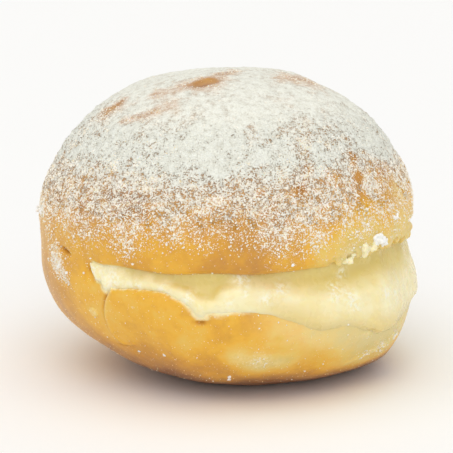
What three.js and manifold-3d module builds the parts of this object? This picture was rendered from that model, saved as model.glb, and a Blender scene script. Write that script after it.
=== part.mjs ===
// A cream-filled doughnut: one round fried bun, slit from the side, left joined
// along a hinge at the back left, and opened just far enough to hold a wedge of cream.
// Millimetres, +Z up. The bun rests on z = 0 and its best side faces -Y.
// An azimuth is an angle about +Z: 0 faces -Y and 90 degrees faces +X.

import * as THREE from "three";
import { mergeVertices } from "three/addons/utils/BufferGeometryUtils.js";
import Module from "manifold-3d";

const wasm = await Module();
wasm.setup();

const DEG = Math.PI / 180;
const SAME_POINT = 1e-4; // points closer than this are one

// The bun's skin
const BUN_RADIUS = 47.4;
const WAIST_HEIGHT = 33.4; // the widest level, above the floor
const DOME_RISE = 40.8; // from the waist to the crown
const BELLY_DROP = 34.8; // from the waist to the uncut bottom, so the floor cuts a flat spot
const DOME_FULLNESS = 2.3; // superellipse powers: 2 is an ellipse, more is squarer
const BELLY_FULLNESS = 2.6;
const BELLY_LEAN = 8.4; // how far the underside sits to the right of the crown
const LEAN_POWER = 1.5;
const SKIN_DETAIL = 15; // subdivisions of the icosahedron that the skin is pushed out from

// Slow swells round the bun: [share of the radius, waves round the bun, turn in degrees]
const SWELLS = [
  [0.01, 2, 20],
  [0.007, 3, 100],
  [0.004, 5, 40],
];

// Broad dimples and bumps. Elevation is from the waist; angles and spread are in degrees.
const DIMPLES = [
  { azimuth: -130, elevation: 50, spread: 15, rise: 1.3 },
  { azimuth: -100, elevation: 26, spread: 12, rise: -0.7 },
  { azimuth: -88, elevation: -18, spread: 12, rise: 1.1 },
  { azimuth: 160, elevation: 66, spread: 11, rise: 0.6 },
  { azimuth: 122, elevation: 64, spread: 8, rise: 1.2 },
  { azimuth: -35, elevation: -24, spread: 12, rise: -1.0 },
  { azimuth: 10, elevation: -45, spread: 16, rise: -0.7 },
  { azimuth: 80, elevation: -24, spread: 12, rise: -1.5 },
  { azimuth: 80, elevation: -46, spread: 13, rise: 1.2 },
];

// The fold where the two fried halves meet, seen only where the bun isn't slit
const FOLD_DEPTH = 0.8;
const FOLD_HEIGHT = 33;
const FOLD_HALF_WIDTH = 5;

// The slit
const SLIT_AZIMUTH = 73; // where it gapes most
const SLIT_HALF_SPAN = 117; // from there round to each end of the hinge, in degrees
const SLIT_ROOF = 32.8; // height of the upper cut face, which stays level
const SLIT_GAPE = 12.9; // from the roof to the lower cut face at the widest
const SLIT_END = 1.2; // the gape that is left along the hinge
const SLIT_FADE = 10; // how far from the hinge the lips reach their full rounding
const SLIT_OVERRUN = 6; // how far the cutter reaches past the skin
const UPPER_LIP = { inset: 6, rise: 4.5 };
const LOWER_LIP = { inset: 3.5, rise: 2.6 };
const LIP_PROUD = 1; // how far outside the skin a lip's rounding ends, so that it cuts it cleanly
const LIP_STEPS = 5;
const RIM_STEPS = 96; // divisions round the bun of the slit and of the cream

// Torn edges of the lips: small ragged waves [height, waves round the bun, turn in degrees]
// and single tears, whose azimuth and spread are in degrees. They start this far out from
// the centre line, as a share of the way to the rim.
const TEAR_START = 0.5;
const UPPER_RAGS = [
  [0.3, 11, 30],
  [0.2, 17, 80],
];
const UPPER_TEARS = [{ azimuth: 59, spread: 22, rise: 3.4 }];
const LOWER_RAGS = [
  [0.5, 9, 10],
  [0.4, 16, 120],
];
const LOWER_TEARS = [
  { azimuth: -37, spread: 6, rise: -3.4 },
  { azimuth: -18, spread: 8, rise: 2 },
  { azimuth: -7, spread: 4, rise: -1.8 },
  { azimuth: 5, spread: 7, rise: 0.8 },
];

// The split that runs down the crust from the slit's near corner, as a path of
// azimuth and height over the skin
const SPLIT_PATH = new THREE.CubicBezierCurve(
  new THREE.Vector2(-35, 28),
  new THREE.Vector2(-41, 23),
  new THREE.Vector2(-41.5, 10),
  new THREE.Vector2(-32, 14.5),
);
const SPLIT_HALF_WIDTH = 0.5;
const SPLIT_DEPTH = 1.3;
const SPLIT_TIP = 0.15; // share of its width and depth that is left at both ends
const SPLIT_STEPS = 14;

// The cream
const CREAM_GAP = 0.3; // clearance to the cut faces
const CREAM_HINGE_GAP = 0.8; // how far short of the hinge it stops
const CREAM_TOP_INSET = 6; // how far in from the skin it meets the roof
const CREAM_FOOT_INSET = 1.2; // how far in it meets the lower lip,
const CREAM_GAPE_FOOT_INSET = -0.8; // the same where the slit gapes most,
const CREAM_GAPE_POWER = 3; // and how late it changes from one to the other
const CREAM_TIP_INSET = 0.5; // how far in it is, foot and top, where the slit ends
const CREAM_TIP = 0.3; // share of the gape by which it has drawn in as far as it does elsewhere
const CREAM_BULGE = 1.8; // how far its face stands proud of a straight slope
const CREAM_SPARE = 6; // height past the cut faces, which they trim off
const CREAM_STEPS = 8;
const CREAM_WAVES = [
  [0.5, 7, 50],
  [0.35, 13, 15],
];

// Colours from the photograph
const CRUST = new THREE.MeshStandardMaterial({ color: 0xdba54e, roughness: 0.6, metalness: 0 });
const CREAM = new THREE.MeshStandardMaterial({ color: 0xf3e6b8, roughness: 0.35, metalness: 0 });

function waves(terms, azimuth) {
  const wave = ([height, count, turn]) => height * Math.cos(count * azimuth + turn * DEG);
  return terms.reduce((sum, term) => sum + wave(term), 0);
}

function smoothStep(from, to, value) {
  return THREE.MathUtils.smoothstep(value, from, to);
}

// Unit vector of an azimuth and an elevation, both in radians.
function heading(azimuth, elevation = 0) {
  const flat = Math.cos(elevation);
  return new THREE.Vector3(Math.sin(azimuth) * flat, -Math.cos(azimuth) * flat, Math.sin(elevation));
}

// Distance of the skin from the waist's centre, before swells, in a direction of that elevation.
function superellipse(elevation) {
  const upper = elevation > 0;
  const power = upper ? DOME_FULLNESS : BELLY_FULLNESS;
  const rise = upper ? DOME_RISE : BELLY_DROP;
  const across = (Math.cos(elevation) / BUN_RADIUS) ** power;
  const along = (Math.abs(Math.sin(elevation)) / rise) ** power;
  return (across + along) ** (-1 / power);
}

function dimples(direction) {
  return DIMPLES.reduce((sum, { azimuth, elevation, spread, rise }) => {
    const away = direction.angleTo(heading(azimuth * DEG, elevation * DEG)) / (spread * DEG);
    return sum + rise * Math.exp(-away * away);
  }, 0);
}

// How far a plan point lies in front of the hinge line, towards where the slit gapes.
function beyondHinge(x, y, hingeShift = 0) {
  const towards = heading(SLIT_AZIMUTH * DEG);
  return x * towards.x + y * towards.y - BUN_RADIUS * Math.cos(SLIT_HALF_SPAN * DEG) - hingeShift;
}

// 0 along the hinge and behind it, 1 where the slit is fully open.
function openness(azimuth) {
  const rim = heading(azimuth).multiplyScalar(BUN_RADIUS);
  return smoothStep(0, SLIT_FADE, beyondHinge(rim.x, rim.y));
}

// The point of the whole bun's skin in a direction from the waist's centre.
function skinPoint(direction) {
  const azimuth = Math.atan2(direction.x, -direction.y);
  const elevation = Math.asin(THREE.MathUtils.clamp(direction.z, -1, 1));
  const swell = 1 + waves(SWELLS, azimuth) * Math.cos(elevation);
  const distance = superellipse(elevation) * swell + dimples(direction);
  const point = direction.clone().multiplyScalar(distance);
  point.z += WAIST_HEIGHT;

  const fold = Math.exp(-(((point.z - FOLD_HEIGHT) / FOLD_HALF_WIDTH) ** 2)) * (1 - openness(azimuth));
  const shrink = 1 - (FOLD_DEPTH * fold) / BUN_RADIUS;
  point.x *= shrink;
  point.y *= shrink;

  const below = Math.max(0, 1 - point.z / WAIST_HEIGHT);
  point.x += BELLY_LEAN * below ** LEAN_POWER;
  point.z = Math.max(point.z, 0);
  return point;
}

// Plan distance of the skin from the centre line at an azimuth and about a height.
function rimRadius(azimuth, height) {
  const elevation = Math.atan2(height - WAIST_HEIGHT, BUN_RADIUS);
  const point = skinPoint(heading(azimuth, elevation));
  return Math.hypot(point.x, point.y);
}

// Plan distance from the centre line to the hinge line, or no limit on the open side.
function hingeRadius(azimuth, hingeShift = 0) {
  const facing = Math.cos(azimuth - SLIT_AZIMUTH * DEG);
  const centre = beyondHinge(0, 0, hingeShift);
  return facing < 0 ? centre / -facing : Infinity;
}

// 0 at the hinge line and 1 at the rim where the slit gapes most.
function gapeShare(x, y) {
  return Math.max(0, beyondHinge(x, y)) / (BUN_RADIUS * (1 - Math.cos(SLIT_HALF_SPAN * DEG)));
}

function slitFloor(x, y) {
  return SLIT_ROOF - SLIT_END - (SLIT_GAPE - SLIT_END) * gapeShare(x, y);
}

// How far a torn lip's edge is moved up at an azimuth.
function tornRise(rags, tears, azimuth) {
  return tears.reduce((sum, tear) => {
    const away = heading(azimuth).angleTo(heading(tear.azimuth * DEG)) / (tear.spread * DEG);
    return sum + tear.rise * Math.exp(-away * away);
  }, waves(rags, azimuth));
}

// Closed solid on a lathe's grid. place(step, azimuth) gives each profile point, from the
// foot of the axis, out and round to the top of the axis.
function warpedLathe(profileSteps, place) {
  const profile = Array.from({ length: profileSteps }, (_, step) => {
    const turn = (Math.PI * step) / (profileSteps - 1);
    return new THREE.Vector2(Math.sin(turn), -Math.cos(turn));
  });
  const lathe = new THREE.LatheGeometry(profile, RIM_STEPS);
  const position = lathe.getAttribute("position");
  for (let index = 0; index < position.count; index++) {
    const step = index % profileSteps;
    const azimuth = (2 * Math.PI * (Math.floor(index / profileSteps) % RIM_STEPS)) / RIM_STEPS;
    position.setXYZ(index, ...place(step, azimuth).toArray());
  }
  return lathe;
}

// One lip's rounding: how far in from the skin and how far past the cut face at a step.
function lipPoint({ inset, rise }, step) {
  const turn = (90 * DEG * step) / LIP_STEPS;
  return {
    inset: (inset + LIP_PROUD) * (1 - Math.sin(turn)) - LIP_PROUD,
    rise: rise * (1 - Math.cos(turn)),
  };
}

// The slit as a solid: two cut faces that round over into the skin as lips. A gap draws
// both faces in.
function slitGeometry(gap = 0) {
  const half = LIP_STEPS + 3; // the centre, the rounding's steps and the overrun
  return warpedLathe(2 * half, (step, azimuth) => {
    const upper = step >= half;
    const ring = upper ? 2 * half - 1 - step : step;
    const open = openness(azimuth);
    const out = heading(azimuth);
    const edge = Math.min(hingeRadius(azimuth), rimRadius(azimuth, SLIT_ROOF) + SLIT_OVERRUN);
    const lip = lipPoint(upper ? UPPER_LIP : LOWER_LIP, THREE.MathUtils.clamp(ring - 1, 0, LIP_STEPS));
    const bed = slitFloor(out.x * BUN_RADIUS, out.y * BUN_RADIUS);
    const rim = rimRadius(azimuth, upper ? SLIT_ROOF + UPPER_LIP.rise : bed - LOWER_LIP.rise);
    const share = ring === 0 ? 0 : ring > LIP_STEPS + 1 ? 1 : (rim - lip.inset) / (rim + SLIT_OVERRUN);
    const point = out.multiplyScalar(edge * share);
    const tear = upper
      ? tornRise(UPPER_RAGS, UPPER_TEARS, azimuth)
      : tornRise(LOWER_RAGS, LOWER_TEARS, azimuth);
    const torn = open * smoothStep(TEAR_START, 1, share) * tear;
    point.z = upper
      ? SLIT_ROOF + open * lip.rise + torn - gap
      : slitFloor(point.x, point.y) - open * lip.rise + torn + gap;
    return point;
  });
}

// The space that the cream takes up, before the cut faces bound it: its bulging face slopes
// out to the lower lip, and it stops short of the hinge.
function creamGeometry() {
  const steps = CREAM_STEPS + 3; // the face's points and one on the axis at each end
  return warpedLathe(steps, (step, azimuth) => {
    const along = THREE.MathUtils.clamp((step - 1) / CREAM_STEPS, 0, 1);
    const out = heading(azimuth);
    const bed = slitFloor(out.x * BUN_RADIUS, out.y * BUN_RADIUS);
    const gape = gapeShare(out.x * BUN_RADIUS, out.y * BUN_RADIUS);
    const full = smoothStep(0, CREAM_TIP, gape);
    const inset = THREE.MathUtils.lerp(CREAM_FOOT_INSET, CREAM_GAPE_FOOT_INSET, gape ** CREAM_GAPE_POWER);
    const foot = rimRadius(azimuth, bed) - THREE.MathUtils.lerp(CREAM_TIP_INSET, inset, full);
    const head = rimRadius(azimuth, SLIT_ROOF) - THREE.MathUtils.lerp(CREAM_TIP_INSET, CREAM_TOP_INSET, full);
    const bulge = CREAM_BULGE * full * Math.sin(Math.PI * along) + waves(CREAM_WAVES, azimuth);
    const face = THREE.MathUtils.lerp(foot, head, along) + bulge;
    const onAxis = step === 0 || step === steps - 1;
    const point = out.multiplyScalar(onAxis ? 0 : Math.min(face, hingeRadius(azimuth, CREAM_HINGE_GAP)));
    const low = slitFloor(point.x, point.y) - CREAM_SPARE;
    point.z = THREE.MathUtils.lerp(low, SLIT_ROOF + CREAM_SPARE, along);
    return point;
  });
}

// The split as a thin three-sided blade: two corners stand outside the skin and the third is
// the foot of the split. It thins out at both ends.
function splitGeometry() {
  const blade = new THREE.CylinderGeometry(1, 1, 1, 3, SPLIT_STEPS);
  const position = blade.getAttribute("position");
  const corner = new THREE.Vector3();
  for (let index = 0; index < position.count; index++) {
    corner.fromBufferAttribute(position, index);
    const along = 0.5 - corner.y;
    const thin = THREE.MathUtils.lerp(SPLIT_TIP, 1, Math.sin(Math.PI * along));
    const here = SPLIT_PATH.getPoint(along);
    const next = SPLIT_PATH.getPoint(along).add(SPLIT_PATH.getTangent(along));
    const [point, ahead] = [here, next].map(({ x, y }) => {
      const elevation = Math.atan2(y - WAIST_HEIGHT, BUN_RADIUS);
      return skinPoint(heading(x * DEG, elevation));
    });
    const outward = heading(here.x * DEG);
    const sideways = ahead.sub(point).cross(outward).normalize();
    point.addScaledVector(sideways, Math.sqrt(3) * corner.x * SPLIT_HALF_WIDTH * thin);
    point.addScaledVector(outward, -corner.z * SPLIT_DEPTH * thin);
    position.setXYZ(index, ...point.toArray());
  }
  return blade;
}

function bunGeometry() {
  const skin = new THREE.IcosahedronGeometry(1, SKIN_DETAIL);
  const position = skin.getAttribute("position");
  const direction = new THREE.Vector3();
  for (let index = 0; index < position.count; index++) {
    direction.fromBufferAttribute(position, index).normalize();
    position.setXYZ(index, ...skinPoint(direction).toArray());
  }
  return skin;
}

// A closed geometry as a solid that can be cut.
function solidOf(geometry) {
  geometry.deleteAttribute("normal");
  geometry.deleteAttribute("uv");
  const merged = mergeVertices(geometry, SAME_POINT);
  const mesh = new wasm.Mesh({
    numProp: 3,
    vertProperties: merged.getAttribute("position").array,
    triVerts: new Uint32Array(merged.index.array),
  });
  return new wasm.Manifold(mesh);
}

function geometryOf(solid) {
  const { vertProperties, triVerts } = solid.getMesh();
  const geometry = new THREE.BufferGeometry();
  geometry.setAttribute("position", new THREE.BufferAttribute(vertProperties, 3));
  geometry.setIndex(new THREE.BufferAttribute(triVerts, 1));
  geometry.computeVertexNormals();
  return geometry;
}

function namedMesh(name, geometry, material) {
  const mesh = new THREE.Mesh(geometry, material);
  mesh.name = name;
  return mesh;
}

const dough = solidOf(bunGeometry()).subtract(solidOf(slitGeometry())).subtract(solidOf(splitGeometry()));
const cream = solidOf(creamGeometry()).intersect(solidOf(slitGeometry(CREAM_GAP)));

const doughnut = new THREE.Group();
doughnut.add(namedMesh("dough", geometryOf(dough), CRUST));
doughnut.add(namedMesh("cream", geometryOf(cream), CREAM));

export default doughnut;
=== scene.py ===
import math
import random

import bmesh
import bpy
import numpy as np
from mathutils import Euler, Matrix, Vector, noise
from mathutils.bvhtree import BVHTree


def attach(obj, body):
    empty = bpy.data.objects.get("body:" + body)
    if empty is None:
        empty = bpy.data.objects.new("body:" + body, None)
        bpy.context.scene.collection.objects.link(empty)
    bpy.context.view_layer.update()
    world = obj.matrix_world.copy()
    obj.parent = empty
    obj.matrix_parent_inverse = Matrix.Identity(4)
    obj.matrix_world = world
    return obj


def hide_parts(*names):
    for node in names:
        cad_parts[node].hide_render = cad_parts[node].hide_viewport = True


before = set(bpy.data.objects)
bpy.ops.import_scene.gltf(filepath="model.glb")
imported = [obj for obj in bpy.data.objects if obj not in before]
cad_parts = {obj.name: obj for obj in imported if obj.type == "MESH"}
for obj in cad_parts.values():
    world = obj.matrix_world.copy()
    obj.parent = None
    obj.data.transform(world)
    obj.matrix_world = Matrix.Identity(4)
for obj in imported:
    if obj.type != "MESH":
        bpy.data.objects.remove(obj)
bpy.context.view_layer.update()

# The looks of a cream-filled doughnut: a fried bun, its custard cream and its dusting of sugar.
# Metres, in the frame of the solids: +Z up, the best side faces -Y, an azimuth of 90 degrees faces +X.
# Azimuths are in degrees. In tables, between square brackets, places and lengths are in millimetres.
MM = 0.001
# Further out than any piece
OUTSIDE = 100 * MM

# How fine the skins are
BUN_GRAIN = 0.8 * MM
CREAM_GRAIN = 0.46 * MM
SUGAR_GRAIN = 0.41 * MM
CLUMP_GRAIN = 0.16 * MM
WELD = 0.001 * MM

# The fried skin's unevenness: how far it stands out and the size of a swell
SKIN_SWELLS = [(0.35, 17), (0.18, 7), (0.08, 3)]
SKIN_SMOOTHING = 24
# It ends near the cream, between these gaps
SKIN_CLEARANCE = (0.4 * MM, 1.6 * MM)
# What lies this low rests on the ground and stays flat
RESTING = 0.05 * MM

# Bare streaks over the dome, from end to end in plan, with depth, half width from side to side and how much
# sugar they lack. From front to back they are wider. A share of each is a wider halo.
STREAK_HEIGHTS = (58 * MM, 63 * MM)
STREAK_SQUASH = 0.5
STREAK_HALO_SHARE = 0.3
STREAK_HALO = 2.2
STREAKS = [
    (((-29.2, -13.4), (-27.4, -12.8), (-25.6, -11.8)), 0.35, 1.6, 0.78),
    (((-24.6, -22.4), (-20.8, -23.6), (-17, -24.3)), 0.3, 0.7, 0.54),
    (((-15.6, -24.2), (-11.8, -24.4)), 0.3, 1.5, 0.34),
    (((-16.6, -15.2), (-13.4, -14.6)), 0.3, 1.5, 0.42),
    (((-10.6, -14.6), (-7.4, -14)), 0.3, 1.4, 0.42),
    (((-5.6, -13.4), (-3.8, -12.3)), 0.5, 1.7, 1.1),
    (((-1.4, -4.6), (2, 0)), 0.35, 1.5, 0.6),
    (((15, -0.8), (20, 1.4)), 0.35, 3, 0.58),
]

# Dents and small lumps: centre, reach and how far the skin is pushed out
SKIN_DENTS = [
    ((-38.6, -26, 32), 3, 0.5),
    ((46.8, -5, 37.4), 4, -1.8),
    ((45.8, 6, 37.4), 4, -1.7),
    ((38, -12, 57), 14, -0.5),
    ((-38.5, -8, 14), 9, 1),
    ((20, -36, 10.5), 5, -0.8),
    ((-18, -38, 15), 4, -0.5),
    ((-45, -12, 42), 1.6, 0.7),
]

# Blistered flakes of crust: centre, half width and thickness
FLAKES = [
    ((-31, -33, 21.5), 1.5, 0.4),
    ((-1, -47.4, 25.2), 0.9, 0.35),
]
FLAKE_EDGE = 0.35 * MM
FLAKE_WANDER = [(0.4, 1.5)]
FLAKE_PALE = 0.7

# Cracks in the crust, from end to end, with depth and half width
CRACKS = [
    (((-39.3, -25.4, 35.7), (-37.8, -27.6, 35.2), (-36.5, -29.3, 34.6)), 1.6, 0.55),
    (((-7.6, -46.6, 22.7), (-5.8, -46.8, 22.5), (-4.2, -47, 22.9)), 0.9, 0.6),
    (((-25.5, -29.9, 13.1), (-21.8, -33.5, 13.6)), 0.6, 0.35),
]
CRACK_TAPER = 0.1
# A fold in the right end of the upper lip, the same way
LIP_FOLDS = [
    (((44, -15.5, 39.9), (45.9, -9, 38.6), (47.3, -2, 37.1), (46.9, 6, 35.4), (45.2, 14, 33.7)),
     3.2, 0.8),
]
FOLD_WANDER = [(0.4, 2.5)]
FOLD_TAPER = 0.05
# Pale wrinkles where the dough is stretched, with how far they stand out and half width
WRINKLES = [
    (((42.4, -19, 16.4), (40.2, -21.8, 13.4), (36.6, -25.2, 11.2), (32.6, -27.9, 9.6), (28.4, -29.6, 8.2)),
     0.5, 1),
    (((39, -26, 17.6), (35, -30.6, 16.4), (31, -33.8, 16)), 0.2, 0.8),
]
WRINKLE_WANDER = [(0.6, 2)]
WRINKLE_ROUGHNESS = [(0.6, 1.3)]
WRINKLE_TAPER = 0.1
WRINKLE_PALE = 0.9

# The skin is divided this often within this reach of a crack, and where there is other small relief: where
# the lip is torn by this share, and within this many half widths
CRACK_CUTS = 3
CRACK_REACH = 1.8 * MM
RELIEF_CUTS = 2
TORN_REFINED = 0.2
FOLD_REACH = 4
WRINKLE_REACH = 3
FLAKE_REACH = 2

# The split in the crust, as the solid has it: azimuths and heights that draw its curve
SPLIT_PATH = [(-35, 28), (-41, 23), (-41.5, 10), (-32, 14.5)]
SPLIT_STEPS = 24
SPLIT_DEPTH = 0.8 * MM
SPLIT_HALF_WIDTH = 0.3 * MM
SPLIT_SHADE = 0.6 * MM
SPLIT_FAINTEST = 0.02
# Its right rim stands up, this far from the split, and is pale
SPLIT_RIM = 0.35 * MM
SPLIT_RIM_GAP = 0.5 * MM
SPLIT_RIM_HALF_WIDTH = 0.4 * MM
SPLIT_RIM_PALE = 0.8
# Where it grows faint, the solid's groove is filled up
SPLIT_FILL = 0.3 * MM
SPLIT_FILL_HALF_WIDTH = 0.6 * MM

# The slit, as the solid has it: height of its roof, its gape, how far out from the middle it is hidden, the
# heights that it lies between, and where round the bun it is widest and ends
SLIT_ROOF = 32.8 * MM
SLIT_GAPE = 12.9 * MM
SLIT_END = 1.2 * MM
SLIT_INSIDE = 36 * MM
SLIT_HEIGHTS = (18 * MM, 38 * MM)
SLIT_AZIMUTH = 73
SLIT_HALF_SPAN = 117
SLIT_FADE = 10
# Its lips: how soft their edges are, and between which azimuths the lower one is on the open side
LIP_EDGE = 1 * MM
OPEN_LIP_FROM = (2, 20)
OPEN_LIP_TO = (150, 105)

# The upper lip is torn from one azimuth to another, and rises there as the solid has it
TORN_FROM = (22, 40)
TORN_TO = (98, 74)
TORN_AZIMUTH = 59
TORN_SPREAD = 22
TORN_RISE = 3.4 * MM
TORN_REACH = 4.5 * MM
TORN_ROUGHNESS = 0.7 * MM
TORN_SWELL = 2.2 * MM
TORN_DEEPEST = -0.35
TORN_HANG = 2.0 * MM
TORN_HANG_SWELL = 3.2 * MM
TORN_PALE = 0.6

# Cream that ran over the lower lip: the line it reached, as azimuth and height
RUN_LINE = [
    (-46, 32.4), (-42, 30.8), (-36, 28.3), (-33.6, 27), (-31, 28), (-28, 28.5), (-22.6, 29),
    (-15.3, 29.2), (-11.8, 28.6), (-10.2, 26.8), (-8.6, 25.1), (-5.3, 24.9), (-4.6, 26), (-2.7, 26.5),
    (0.9, 26.2), (6.5, 25.5), (11.2, 24.8), (16.7, 22.4), (22, 21), (30.6, 18.4), (42.2, 17.4),
    (50, 16.2), (112, 15),
]
# It is laid in strips, from one azimuth to another, that step down from the filling's foot
RUN_FROM = -46
RUN_TO = 112
RUN_TURN = 0.8
RUN_STEP = 0.5 * MM
RUN_FURTHEST = 14
RUN_OUTWARD = 0.5
# The foot is looked for this far above and below the lower cut face, in these steps
FOOT_SEARCH = 4.5 * MM
FOOT_STEP = 0.3 * MM
# Half thickness of the run, and the share of it that is under the skin at the filling and at its edge
RUN_BALL = 1.0 * MM
RUN_SUNK = (0.5, 0.7)
RUN_SUNK_OPEN = (0.5, 1.05)
RUN_OPEN = (0, 16)
# On the open side more cream lies in the corner between the filling and the lip
RUN_CORNER = 0.9 * MM
RUN_CORNER_ENDS = (70, 45)
# Dabs of it: centre and half width
DABS = [
    ((-31.6, -34.6, 33.5), 0.6),
    ((-31.1, -34.8, 33), 0.8),
    ((-30.5, -35.2, 32.3), 1),
    ((-29.5, -36, 31.3), 1.2),
    ((-27.6, -37.8, 30), 1.4),
    ((-7, -46.2, 28.2), 1.3),
    ((-5.6, -46.6, 27), 1.5),
    ((-6.2, -46.6, 25.6), 1.2),
]
# On the open side cream soaks into the crust, with a ragged edge
SMEAR_FADE = 6.5 * MM
SMEAR_STRENGTH = 0.3
SMEAR_RAGGED = 0.5
SMEAR_SWELL = 3 * MM
# A thin film of it clings to the crust along the rest of its edge, at the left end on both lips
FILM_REACH = 0.8 * MM
FILM_ENDS = (14, 0)
FILM_BOTH_LIPS = (-24, -32)
# The lower lip rises a little to meet it
FILLET = 0.8 * MM
FILLET_REACH = 1.4 * MM
FILLET_FROM = (-46, -36)

# How brown the crust is above and below the slit, with what it gains from one height to another. The belly's
# steps darken it towards the ground, partly browner frying and partly painted shade.
DOME_TOAST = 0.56
DOME_STEPS = [(38, 50, 0.26)]
BELLY_TOAST = 0.46
BELLY_STEPS = [(18, 8, 0.12), (9, 2, 0.42)]
# The two meet here, in an edge that is firm at the slit and this much softer where the bun is closed
TOAST_LINE = SLIT_ROOF - LIP_EDGE
TOAST_EDGE = 0.2 * MM
TOAST_EDGE_CLOSED = 7 * MM
# The open side is paler, towards +X and between these heights
PALE_SIDE = 0.32
PALE_SIDE_FROM = (8 * MM, 34 * MM)
PALE_SIDE_TOP = (56 * MM, 36 * MM)
PALE_SIDE_FOOT = (2 * MM, 9 * MM)
TOAST_PATCHES = 0.1
TOAST_PATCH_SIZE = 22 * MM
# Where the crust is paler or browner than round about: centre, reach and change. The first three pale spots
# are partly a painted highlight; the brown spots low on the bun and the one under the upper lip's front edge
# are partly painted shade.
TOAST_AND_PAINTED_LIGHT_SPOTS = [
    ((3.1, -43.3, 13.6), 3.4, -0.26),
    ((8, -41.2, 11.6), 3.6, -0.34),
    ((13.5, -40.6, 12.2), 3.6, -0.22),
    ((-20, -39, 19), 4, 0.08),
    ((-4, -47, 23), 6, 0.05),
    ((34, -28, 12), 8, -0.18),
    ((38, -12, 5), 6, 0.25),
    ((44, -12, 12), 5, 0.12),
    ((-30, -22, 11), 9, 0.24),
    ((-15, -32, 6), 9, 0.22),
    ((-38, -20, 20), 8, 0.14),
    ((6, -47, 34.6), 9, 0.14),
    ((33, -25.5, 53.5), 6, -0.14),
    ((-4.8, -13, 71), 4, -0.04),
    ((-27.4, -12.8, 62), 4, -0.1),
    ((20, -35, 8.8), 5.5, 0.08),
    ((20.6, -41.4, 19.7), 2.6, -0.14),
    ((-11.5, -46.3, 26.6), 3.5, 0.06),
    ((-10.9, -33.3, 7.3), 6, 0.12),
    ((-5.6, -40, 10.8), 3.5, 0.12),
    ((30, -33, 47), 8, -0.1),
    ((34.6, -26.4, 9.5), 3.5, 0.1),
    ((-42, -12, 24), 9, 0.14),
    ((28.2, -36.4, 35.4), 2.5, -0.3),
]
# Spots where it is as pale as crumb: centre, reach and strength. The first three, low on the front, are
# partly a painted highlight.
PALE_SPOTS = [
    ((7.4, -42, 12.3), 3, 1),
    ((3.1, -43.3, 13.6), 2.2, 0.6),
    ((11.6, -41, 11.6), 1.8, 0.55),
    ((28.2, -36.4, 35.4), 2, 0.7),
    ((40.5, -22, 15.5), 3.5, 0.25),
    ((37, -26, 13), 2.5, 0.25),
    ((41.2, -18.9, 47.6), 4.5, 0.95),
    ((41.6, -20.2, 43.4), 4, 0.5),
]

# Sugar that settled on the dome thickens by these shares from one height to another
DUST_STEPS = [(36, 45, 0.28), (43, 51, 0.22), (50, 59, 0.41)]
# It lies in patches, of change and size, that fade in between these amounts of it
DUST_PATCHES = [(0.16, 8), (0.13, 3.2)]
DUST_PATCHY = (0, 0.4)
# Where there is more or less of it than round about: centre, reach and change
DUST_SPOTS = [
    ((29.6, -27.8, 57.2), 2, -0.6),
    ((30.7, -30, 53.4), 2, -0.5),
    ((31.6, -31.8, 48.6), 1.8, -0.25),
    ((34, -24.5, 54.5), 2.2, -0.2),
    ((18.9, -36.7, 55.9), 1.6, -0.4),
    ((16.5, -40.3, 51.9), 1.8, -0.4),
    ((24, -34, 54), 1.8, -0.35),
    ((38, -20, 49), 5, -0.24),
    ((43, -10, 46), 6, -0.15),
    ((42, -19, 45), 4, -0.12),
    ((22, -27, 63), 10, -0.17),
    ((12, -35, 61), 5, -0.12),
    ((-36, -18, 58), 9, -0.06),
    ((-39.6, -24.6, 31.2), 3.2, 0.46),
    ((-34, -32.6, 38), 5, 0.09),
    ((-40.2, -24.2, 38), 5, 0.06),
    ((-39.8, -24.2, 42.2), 5, -0.1),
    ((-24, -41.1, 39.6), 4, 0.06),
    ((11.8, -44.6, 40.2), 4, 0.2),
    ((-25, -35, 56), 6, -0.08),
    ((36, -24, 52.5), 8, -0.14),
    ((-41, -23, 35), 2.6, 0.14),
    ((-41.6, -21.4, 31.4), 2.4, 0.3),
    ((-42.6, -19, 36.6), 3, 0.1),
    ((-44.8, -12.6, 42.3), 2, 0.6),
    ((-37.8, -27, 28.6), 2, 0.3),
    ((-22, -41.5, 38.5), 3, 0.14),
    ((20, -42, 39), 4, 0.12),
    ((30, -35, 38.5), 4.5, 0.1),
    ((3, -46, 49.5), 8, -0.15),
    ((29, -34, 47), 7, -0.07),
    ((38, -26, 39.5), 3.5, 0.05),
    ((40.2, -21.8, 13.4), 1.8, 0.28),
    ((36.6, -25.2, 11.2), 1.8, 0.22),
    ((32.6, -27.9, 9.6), 1.8, 0.22),
    ((7.4, -42, 12), 2.4, 0.14),
]
# Near the crown it has drawn damp and lies smooth
MELT_HEIGHTS = (62 * MM, 69 * MM)
MELT_WANDER = [(2, 6)]

# The closed layer: where it starts, its thickness, and how far it may stand out or sink into the crust
SUGAR_FLOOR = 43 * MM
SUGAR_SMOOTHING = 48
SUGAR_THICKNESS = 0.5 * MM
SUGAR_SINK = -0.3 * MM
SUGAR_TOP = 0.9 * MM
SUGAR_BACKING = 1.8 * MM
SUGAR_TRIM = 1 * MM
# How high it is heaped by the dust that settled, and its heaps: height, how much lower they are where it is
# damp, and size
HEAP_GAIN = 1.3
HEAP_START = 0.6
HEAPS = [(0.6, 0.3, 2.6), (0.6, 0.4, 1.1)]
# The solid's outline is that of the sugared bun, so the crust under the layer lies lower
SUGAR_BED = 0.55 * MM
SUGAR_BED_DUST = (0.3, 0.9)

# Grains of sugar: how many, and their smallest and largest half width
FINE_GRAINS = 24000
FINE_SIZE = (0.09 * MM, 0.22 * MM)
COARSE_GRAINS = 9000
COARSE_SIZE = (0.12 * MM, 0.34 * MM)
SPECKS = 24000
SPECK_SIZE = (0.08 * MM, 0.15 * MM)
GRAIN_STRETCH = (0.65, 1.35)
GRAIN_RAISED = 0.35
# They lie loose where there is some dust, and the closed and the damp layer hide a share of them
LOOSE_DUST = (0.0, 0.4)
CLOSED_DUST = (0.7, 1.0)
CLOSED_HIDES = 0.75
DAMP_HIDES = 0.85
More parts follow.
